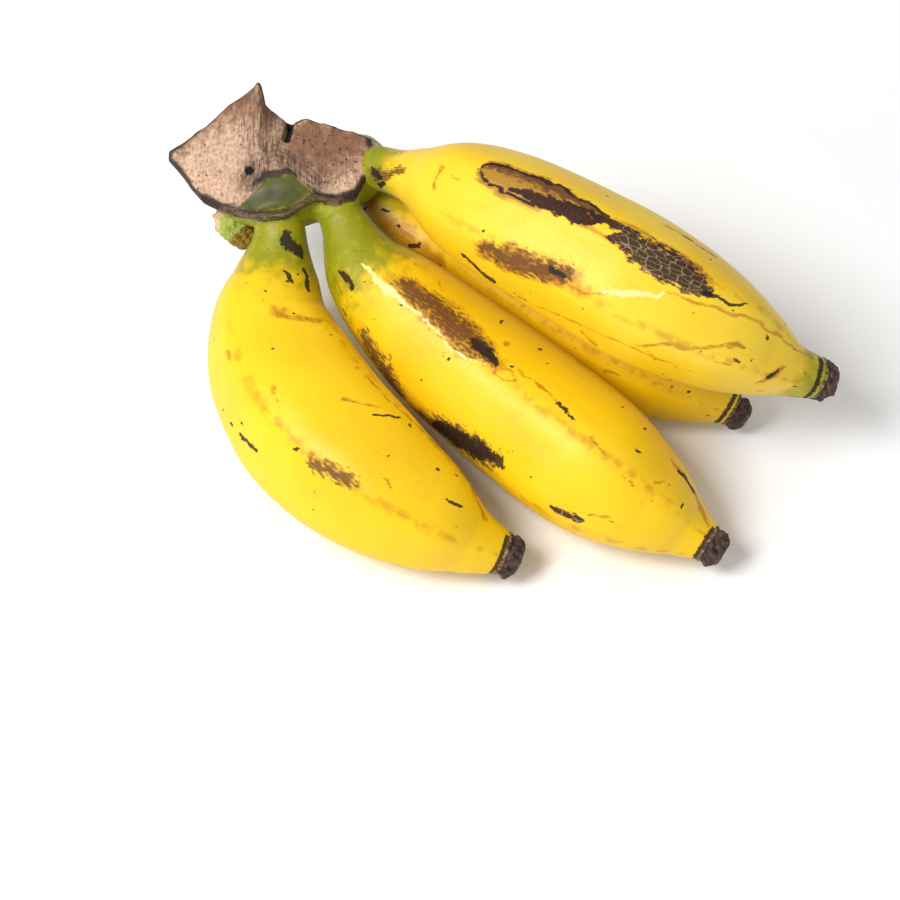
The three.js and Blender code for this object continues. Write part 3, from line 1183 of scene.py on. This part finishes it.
    def beside(self, points: Points, path: tuple[tuple[float, float, float], ...]) -> Values:
        """The distance to a path, with heights counted little, for what is cut straight down."""
        squash = np.array([1.0, 1.0, 0.25])
        return path_distance(points * squash, np.array(path) * squash)[0]

    def cut_share(self, points: Points, normals: Points) -> Values:
        """How much each point belongs to the cut face rather than the skin.

        Args:
            points: The crown's points.
            normals: Their outward directions.

        Returns:
            1 on the cut face, 0 on the skin.
        """
        rows = np.array(self.layer)
        columns = (np.interp(points[:, 0], rows[:, 0], rows[:, index]) for index in range(1, 6))
        y, z, depth, thick, tip = columns
        tip = np.radians(tip)
        level = (points[:, 2] - z) * np.cos(tip) - (points[:, 1] - y) * np.sin(tip)
        across = (points[:, 2] - z) * np.sin(tip) + (points[:, 1] - y) * np.cos(tip)
        facing = normals[:, 2] * np.cos(tip) - normals[:, 1] * np.sin(tip)
        within = 1 - smooth_step(-0.2, 0.5, np.abs(across) - depth)
        return smooth_step(-0.6, 0.5, level / thick) * smooth_step(-0.2, 0.25, facing) * within

    def outline(self) -> Points:
        """The edge of the cut face.

        Returns:
            Its corners, round the back and then round the front.
        """
        edges = []
        for side in (1, -1):
            for x, y, z, depth, thick, tip in self.layer[::side]:
                lean = math.radians(tip)
                ahead, raised = side * depth * math.cos(lean), side * depth * math.sin(lean)
                edges.append((x, y + ahead, z + raised + thick * 0.6))
        return np.array([*edges, edges[0]])

    def colour(self, crown: bpy.types.Object) -> None:
        """Keeps the cut face, its dark edge, the painted shade in the hole, the crack and under the rim, and
        the brown rim on the crown's vertices.
        """
        points, normals = read_points(crown), read_normals(crown)
        crack, hole = self.beside(points, self.CRACK), self.beside(points, self.HOLE)
        above = points[:, 2] > self.DEEPEST
        rim, _ = path_distance(points, np.array(self.RIM))
        outline, _ = path_distance(points, self.outline())
        write_values(crown, "cut", self.cut_share(points, normals))
        write_values(crown, "edge", fading(outline, 1.4))
        # Painted shade in the hole and the crack.
        hollow_shade = np.maximum(fading(crack, 1.1), fading(hole, 1.4))
        write_values(crown, "hollow_shade", hollow_shade * above)
        write_values(crown, "rim", fading(rim, 1.5))
        # Painted shade on the skin below the rim.
        shadow, _ = path_distance(points, np.array(self.UNDER_RIM_SHADE))
        write_values(crown, "under_rim_shade", fading(shadow, 3.6))
        weathered, _ = path_distance(points, np.array(self.WEATHERED))
        lobe, _ = path_distance(points, np.array(self.BROWN_LOBE))
        worn = np.maximum(fading(weathered, 5), fading(lobe, 8))
        write_values(crown, "weathered", worn)
        saddle, _ = path_distance(points, np.array(self.SADDLE))
        peak, _ = path_distance(points, np.array(self.PEAK))
        lines = (0.5 + 0.5 * np.sin(saddle * self.SADDLE_LINES)) * fading(saddle, 3.5)
        write_values(crown, "lines", lines)
        write_values(crown, "fibrous", np.maximum(fading(peak, 5), 0.8 * fading(saddle, 4)))


@dataclass
class TornPedicel:
    """The stub of a fifth fruit's neck, torn off below the crown, with a ragged edge.

    Attributes:
        stations: x, y, z and half-width, in millimetres, from the crown to its torn point.
    """

    stations: tuple[tuple[float, ...], ...]
    seed: int = 31

    def build(self, finish: bpy.types.Material) -> None:
        """Makes the stub.

        Args:
            finish: The torn stalk's material.
        """
        line = GrownLine(self.stations)

        def place(share: Values, angle: Values) -> Points:
            """The stub's points, in strings and lumps."""
            reach = line.column(share, 3) * (1 - 0.7 * smooth_step(0.9, 1.0, share))
            points = line.around(share, angle, reach)
            strings = 0.45 * np.sin(13 * angle + 3 * share) * smooth_step(0.05, 0.3, share)
            broad, small = lattice_noise(points, 2.2, self.seed), lattice_noise(points, 0.9, self.seed + 1)
            lumps = 0.7 * broad + 0.35 * small
            return line.around(share, angle, np.maximum(reach + 0.5 * strings + lumps, 0.1))

        stub = rolled_sheet("torn_neck", 90, 110, place)
        share, points = read_values(stub, "share"), read_points(stub)
        write_values(stub, "drying", smooth_step(0.2, 0.9, share) + smooth_step(-67, -63, points[:, 0]) * 0.3)
        left = 1 - smooth_step(-70.3, -68.2, points[:, 0])
        write_values(stub, "fray", np.maximum(left, smooth_step(0.93, 1, share)))
        settle(stub, "torn_pedicel", finish)


# The set


@dataclass(frozen=True)
class Softbox:
    """A soft lamp aimed at the hand.

    Attributes:
        name: Its name.
        place: Where it hangs, in metres.
        size: Its width and height in metres.
        watts: Its power.
    """

    name: str
    place: tuple[float, float, float]
    size: tuple[float, float]
    watts: float

    def hang(self) -> None:
        """Puts the lamp in the scene."""
        data = bpy.data.lights.new(self.name, "AREA")
        data.shape = "RECTANGLE"
        data.size, data.size_y = self.size
        data.energy = self.watts
        lamp = bpy.data.objects.new(self.name, data)
        lamp.location = self.place
        lamp.rotation_euler = (-Vector(self.place)).to_track_quat("-Z", "Y").to_euler()
        bpy.context.scene.collection.objects.link(lamp)


@dataclass(frozen=True)
class Studio:
    """A plain pale floor, soft light, and a camera that looks down on the hand.

    Attributes:
        elevation: How far above the floor the camera looks from, in degrees.
        distance: From the camera to the point on the floor that it looks at, in metres.
        aim: That point's x and y, in metres.
        lens: The focal length in millimetres.
        floor: The floor's colour.
        sky: The strength of the white light all round.
    """

    elevation: float = 55.0
    distance: float = 0.7
    aim: tuple[float, float] = (-0.0118, -0.0135)
    lens: float = 112.0
    floor: str = "F7F7F7"
    sky: float = 0.56
    lamps: tuple[Softbox, ...] = (
        Softbox("key_softbox", (-0.55, -0.3, 0.85), (0.42, 0.42), 9.2),
        Softbox("side_softbox", (-0.62, -0.5, 0.45), (0.1, 0.22), 1.2),
    )

    def build(self) -> None:
        """Sets up the camera, the lamps, the sky and the floor."""
        bpy.context.scene.view_settings.view_transform = "Standard"
        self.set_camera()
        for lamp in self.lamps:
            lamp.hang()
        world = bpy.data.worlds.new("white_room")
        world.use_nodes = True
        backdrop = world.node_tree.nodes["Background"].inputs
        backdrop["Color"].default_value = (1, 1, 1, 1)
        backdrop["Strength"].default_value = self.sky
        bpy.context.scene.world = world
        self.lay_floor()

    def set_camera(self) -> None:
        """Aims the camera."""
        data = bpy.data.cameras.new("camera")
        data.lens = self.lens
        camera = bpy.data.objects.new("camera", data)
        lean = math.radians(self.elevation)
        back = Vector((0, -math.cos(lean), math.sin(lean))) * self.distance
        camera.location = Vector((*self.aim, 0)) + back
        camera.rotation_euler = (math.pi / 2 - lean, 0, 0)
        bpy.context.scene.collection.objects.link(camera)
        bpy.context.scene.camera = camera

    def lay_floor(self) -> None:
        """Lays a wide matt sheet just under the hand."""
        bm = bmesh.new()
        bmesh.ops.create_grid(bm, x_segments=1, y_segments=1, size=3.0)
        bmesh.ops.translate(bm, verts=bm.verts, vec=(0, 0, -0.0002))
        sheet = finished("floor", bm)
        paper = Recipe("matt_white_paper", ior=1.4)
        pulp = paper.grain(2.0)
        tone = paper.blend(paper.ramp(pulp, 0.3, 0.7, 0, 0.05), shade(self.floor), shade("EDEDED"))
        sheet.data.materials.append(paper.finish(tone, paper.ramp(pulp, 0, 1, 0.8, 0.9), pulp, 0.01))


# The hand


LEFT = Finger(
    name="left",
    stations=(
        (-54.5, 33, 41, 6.4),
        (-54, 26.5, 35, 6.7),
        (-55, 19, 29, 10.7),
        (-56, 9, 24, 15.3),
        (-53, -3, 20, 18.3),
        (-44, -20, 18.8, 19.4),
        (-31, -34, 18, 17.8),
        (-17.5, -43, 15, 13.9),
        (-7.5, -47.3, 11, 8.6),
        (0.5, -49.3, 8, 5.4),
    ),
    ridges=(43, 115, 187, 250, 320),
    ridge_height=0.06,
    green_neck=(8, 30),
    green_tip=0.0,
    painted_sheen=0.15,
    seed=11,
    marks=(
        Mark(Blemish.BRUISE, ((8, 18), (10, 32), (12, 52)), (3.5, 5, 4)),
        Mark(Blemish.BRUISE, ((18, 20), (20, 27)), (1.6, 2.2)),
        Mark(Blemish.BRUISE, ((17, 52), (21, 54)), (2.2, 2.6)),
        Mark(Blemish.BRUISE, ((58, -77), (62, -72)), (2.2, 1.6)),
        Mark(Blemish.SMUDGE_AND_SHADE, ((76, -43), (82, -38)), (5, 6)),
        Mark(Blemish.STAIN_AND_SHADE, ((66, 38), (78, 38), (90, 46), (102, 44), (111, 18)), (0.8, 1, 1.4, 1.8, 1.4)),
        Mark(Blemish.STAIN_AND_SHADE, ((70, 7), (73, 18), (76, 26)), (1.8, 1.1, 1.6)),
        Mark(Blemish.BRUISE, ((78, 18), (81, 32)), (0.8, 1.2)),
        Mark(Blemish.BRUISE, ((100, -2), (103, 2)), (1.4, 1)),
        Mark(Blemish.STAIN_AND_SHADE, ((32, 4), (38, 31)), (5, 7)),
        # Painted shade on the side that faces the middle fruit.
        Mark(Blemish.SMUDGE_AND_SHADE, ((30, 88), (46, 92), (60, 96)), (3, 5, 3)),
        ring(117, 117.5, 1.6),
        *spots(Blemish.STAIN_AND_SHADE, (41, -45, 2.6), (62, 36, 2.5)),
        *spots(Blemish.BRUISE, (49, -84, 1.3), (54, -82, 1.5), (71, -44, 1.3), (84, 35, 1.6)),
    ),
)

MIDDLE = Finger(
    name="middle",
    stations=(
        (-41.3, 35.5, 40, 5.8),
        (-38, 29.5, 36.5, 6.1),
        (-32.5, 19.5, 30.5, 10.8),
        (-23, 10, 26, 14.3),
        (-9.5, -1.5, 20.8, 16.7),
        (8, -17, 18, 17.8),
        (24, -31.5, 17, 17.2),
        (36, -39.3, 14, 13),
        (44.5, -43.8, 10.5, 7.8),
        (50, -47, 9, 4.8),
    ),
    ridges=(55, 127, 199, 271, 343),
    ridge_height=0.06,
    green_neck=(12, 40),
    green_tip=0.0,
    painted_sheen=0.2,
    seed=12,
    marks=(
        Mark(Blemish.STAIN_AND_SHADE, ((31, -9), (38, -7), (47, -7), (57, -9), (66, -9)), (9, 12, 13, 12, 6)),
        Mark(Blemish.SMUDGE_AND_SHADE, ((32, -8), (38, -6), (46, -6), (56, -8), (64, -9)), (7, 10, 12, 10, 6)),
        Mark(Blemish.BRUISE, ((58, -8), (62, -8), (66, -10)), (3, 4.5, 2.5)),
        # Partly a real pale patch and partly a painted highlight along the ridge.
        Mark(
            Blemish.PALE_AND_HIGHLIGHT,
            ((20, -18), (26, -22), (31, -23), (36, -21), (44, -21), (53, -23), (60, -21), (66, -16)),
            (0.8, 2.2, 3.0, 1.2, 0.7, 0.9, 0.6, 0.5),
        ),
        Mark(Blemish.STAIN_AND_SHADE, ((67, -17), (71, -17), (73, -11), (70, -8), (67, -11)), (0.8,) * 5),
        Mark(Blemish.STAIN_AND_SHADE, ((71, -4), (76, -2), (82, -3), (92, -7)), (1.2, 0.9, 0.9, 0.6)),
        Mark(Blemish.BRUISE, ((86, -5), (91, -7)), (0.9, 0.8)),
        Mark(Blemish.NET, ((20, -49), (24, -52)), (2.6, 1.8)),
        Mark(Blemish.STAIN_AND_SHADE, ((20, -66), (23, -67)), (2, 1.6)),
        Mark(Blemish.BRUISE, ((62, -90), (67, -84), (74, -78), (82, -73)), (5, 8, 8, 3)),
        # These two: painted shade on the side that lies against the left fruit.
        Mark(Blemish.SMUDGE_AND_SHADE, ((56, -96), (68, -84), (78, -78)), (8, 12, 10)),
        Mark(Blemish.SMUDGE_AND_SHADE, ((33, -78), (40, -84), (47, -94)), (6, 9, 9)),
        Mark(Blemish.NET, ((97, -80), (100, -79), (103, -76)), (1.5, 3.0, 1.0)),
        Mark(Blemish.STAIN_AND_SHADE, ((104, -68), (107, -63)), (1, 0.8)),
        Mark(Blemish.STAIN_AND_SHADE, ((112, 34), (117, 33), (123, 35), (128, 12)), (2, 3, 3, 2)),
        Mark(Blemish.BRUISE, ((115, 32), (120, 34)), (1.4, 1.2)),
        ring(129.3, 129.5, 1.6),
        *spots(
            Blemish.BRUISE,
            (49, -22, 1.5), (58, 30, 1.7), (70, 31, 1.5), (56, -31, 1.1), (52, -64, 1.1),
            (35, -24, 1.2), (103, 36, 1.4), (105, 4, 1.5),
        ),
        *spots(Blemish.STAIN_AND_SHADE, (64, 9, 3)),
    ),
)

LOWER = Finger(
    name="lower",
    stations=(
        (-35, 49, 30.5, 4.6),
        (-28.5, 41.5, 28, 6.2),
        (-18.5, 37.2, 22.8, 10.9),
        (-5, 33.4, 18, 14),
        (9, 24.8, 16, 15.6),
        (24, 13.5, 15.6, 15.9),
        (37, 4.4, 15, 14.7),
        (47, -1.8, 12.7, 10.7),
        (58, -6.5, 8, 4.3),
    ),
    ridges=(20, 92, 164, 236, 308),
    ridge_height=0.05,
    green_neck=(6, 20),
    green_tip=0.0,
    painted_sheen=0.1,
    seed=13,
    marks=(
        Mark(Blemish.BRUISE, ((17, -114), (19, -108)), (1.5, 1.2)),
        Mark(Blemish.BRUISE, ((20, -58), (22, -52)), (2.2, 1.8)),
        # Painted shade on the part of the neck that lies deep between the middle and upper fruits.
        Mark(Blemish.STAIN_AND_SHADE, ((6, -60), (16, -62), (26, -60)), (10, 12, 8)),
        Mark(Blemish.STAIN_AND_SHADE, ((60, 60), (85, 66)), (5, 8)),
        Mark(Blemish.SMUDGE_AND_SHADE, ((70, 80), (80, 84)), (6, 4)),
        ring(111.5, 112, 1.8),
        *spots(Blemish.BRUISE, (8, -67, 1.8), (11, -34, 1.8)),
    ),
)

UPPER = Finger(
    name="upper",
    stations=(
        (-35, 45.4, 41.2, 5.3),
        (-24.5, 39, 44.6, 5.9),
        (-18.4, 34.4, 47.5, 8.2),
        (-10, 28, 50, 13.3),
        (2, 19.7, 51.5, 15.8),
        (18, 8.7, 51.5, 16.9),
        (34, -2, 50, 17.3),
        (49, -8.6, 45, 15.2),
        (61, -11.3, 38, 11.2),
        (69.5, -12.6, 33, 7),
        (76.5, -13, 29.7, 5.2),
    ),
    ridges=(0, 75, 150, 230, 300),
    ridge_height=0.06,
    green_neck=(6, 22),
    green_tip=0.75,
    painted_sheen=0.75,
    seed=14,
    marks=(
        Mark(Blemish.SCALD, ((44, -8), (50, -8), (57, -6), (64, -5), (70, -5)), (9, 12, 11, 9, 4)),
        Mark(Blemish.SMUDGE_AND_SHADE, ((42, -3), (48, 1), (57, 4), (65, 2), (72, 0)), (3, 5, 5, 4, 3)),
        Mark(
            Blemish.NET,
            ((41, -5), (43, 0), (48, 4), (57, 8), (66, 5), (74, 2), (80, 1)),
            (0.9, 1.3, 1.3, 1.0, 1.0, 1.4, 1.2),
        ),
        Mark(
            Blemish.NET,
            ((41, -4), (42, -12), (46, -17), (52, -19), (58, -17), (64, -14)),
            (0.6, 0.8, 0.8, 0.8, 0.9, 1.2),
        ),
        Mark(Blemish.NET, ((50, -14), (57, -11), (62, -10), (67, -8), (71, -5)), (1.2, 4, 6.5, 6, 2)),
        Mark(Blemish.STAIN_AND_SHADE, ((68, -10), (73, -12), (79, -13)), (3, 2.4, 2.4)),
        Mark(Blemish.NET, ((70, -2), (75, -1), (80, -2)), (1.6, 2, 3)),
        Mark(
            Blemish.NET,
            ((76, -10), (80, -8), (84, -8), (90, -9), (95, -11), (98, -12)),
            (3, 7, 10, 10, 6, 2.5),
        ),
        # Painted highlight: a pale glossy streak on the front-left side.
        Mark(Blemish.PALE_AND_HIGHLIGHT, ((80, -52), (85, -42), (90, -31)), (1.4, 2.4, 1.0)),
        Mark(Blemish.STAIN_AND_SHADE, ((70, -4), (78, 4), (88, 4), (96, -4)), (3, 4, 4, 4)),
        Mark(Blemish.BRUISE, ((97, -13), (101, -12), (104, -8), (106, -2)), (1.6, 1.1, 0.8, 0.6)),
        Mark(Blemish.SMUDGE_AND_SHADE, ((51, -71), (57, -68), (64, -62), (72, -54)), (7, 9, 8, 6)),
        Mark(Blemish.STAIN_AND_SHADE, ((50, -72), (58, -68), (66, -61), (74, -54)), (9, 11, 10, 8)),
        Mark(Blemish.BRUISE, ((68, -57), (71, -55)), (2.6, 2.2)),
        Mark(Blemish.STAIN_AND_SHADE, ((79, -104), (82, -110)), (2.2, 3)),
        Mark(Blemish.STAIN_AND_SHADE, ((32, -18), (33, -40)), (1.4, 1.6)),
        Mark(Blemish.BRUISE, ((9, -50), (12, -62)), (3, 2)),
        Mark(Blemish.BRUISE, ((11, -85), (13, -76)), (2.2, 1.6)),
        Mark(Blemish.SMUDGE_AND_SHADE, ((10, -60), (15, -55), (20, -33)), (7, 5, 3)),
        Mark(Blemish.STAIN_AND_SHADE, ((117, -76), (119, -62), (121, -45)), (2, 4, 2)),
        Mark(Blemish.BRUISE, ((118, -66), (120, -52)), (1.6, 1.2)),
        Mark(
            Blemish.STAIN_AND_SHADE,
            ((91, -28), (97, -22), (104, -17), (115, -12), (127, -3)),
            (0.7, 1.0, 1.4, 1.4, 1.0),
        ),
        Mark(Blemish.STAIN_AND_SHADE, ((90, -81), (100, -60), (107, -42)), (1.5, 2.2, 1.2)),
        Mark(Blemish.STAIN_AND_SHADE, ((60, -112), (73, -98), (87, -88), (100, -88)), (0.8, 1, 1, 0.8)),
        Mark(Blemish.BRUISE, ((88, 37), (93, 37), (98, 35)), (1.0, 0.7, 0.6)),
        Mark(Blemish.STAIN_AND_SHADE, ((83, 35), (90, 40)), (3, 2)),
        ring(132, 132.5, 1.8),
        *spots(Blemish.STAIN_AND_SHADE, (57, -121, 2.2)),
        *spots(Blemish.BRUISE, (62, -108, 1.2), (48, -54, 1.3), (112, -22, 1.4), (108, -56, 1.2)),
    ),
)

CROWN = Crown(
    layer=(
        (-82, 45.6, 43.4, 1.2, 0.9, 42),
        (-78.2, 44.9, 42.3, 4.6, 1.6, 41),
        (-75.3, 43.8, 42.4, 7.7, 2.4, 39),
        (-72, 43.2, 42.8, 10.2, 2.8, 37),
        (-67.7, 43.8, 44.2, 12.8, 3, 34),
        (-63.8, 44.2, 46.4, 13.8, 3, 31),
        (-60.9, 45.1, 48.9, 13.5, 3, 32),
        (-58.8, 46.2, 50.7, 13, 3, 33),
        (-57.2, 45.2, 48.6, 9.5, 3, 23),
        (-54.5, 44.9, 47.3, 8.7, 3, 13),
        (-51.5, 44.8, 46, 7.7, 3, 6),
        (-48, 44.5, 45.3, 9.8, 3, 13),
        (-44, 42.6, 44.4, 10.6, 3, 16),
        (-39, 41.6, 43.5, 10.4, 3.2, 14),
        (-35, 42.2, 43.2, 8.8, 3.8, 15),
        (-32, 44.6, 43.4, 4.6, 3.4, 16),
    ),
    cushion=(
        (-72, 40, 40, 3.5),
        (-64, 38, 38.5, 7.6),
        (-53, 37, 38.8, 8.8),
        (-43, 41, 39, 8.9),
        (-35, 46, 38.5, 8.8),
        (-30, 48.5, 36.5, 6.2),
    ),
    necks=(LEFT, MIDDLE, LOWER, UPPER),
)

TORN_PEDICEL = TornPedicel(
    stations=(
        (-66, 36.5, 33.5, 5.2),
        (-65, 34.5, 30, 5),
        (-62.5, 32.3, 27, 3.6),
        (-61, 31.3, 25.3, 1.2),
    ),
)


def main() -> None:
    """Builds the hand and its set."""
    logging.basicConfig(level=logging.INFO, format="%(name)s: %(message)s")
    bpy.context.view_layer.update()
    Studio().build()
    peel, flower = RipePeel().material(), DriedFlower().material()
    for finger in (LEFT, MIDDLE, LOWER, UPPER):
        finger.build(peel, flower)
    CROWN.build(CutCrown().material())
    TORN_PEDICEL.build(TornStalk().material())


if __name__ == "__main__":
    main()
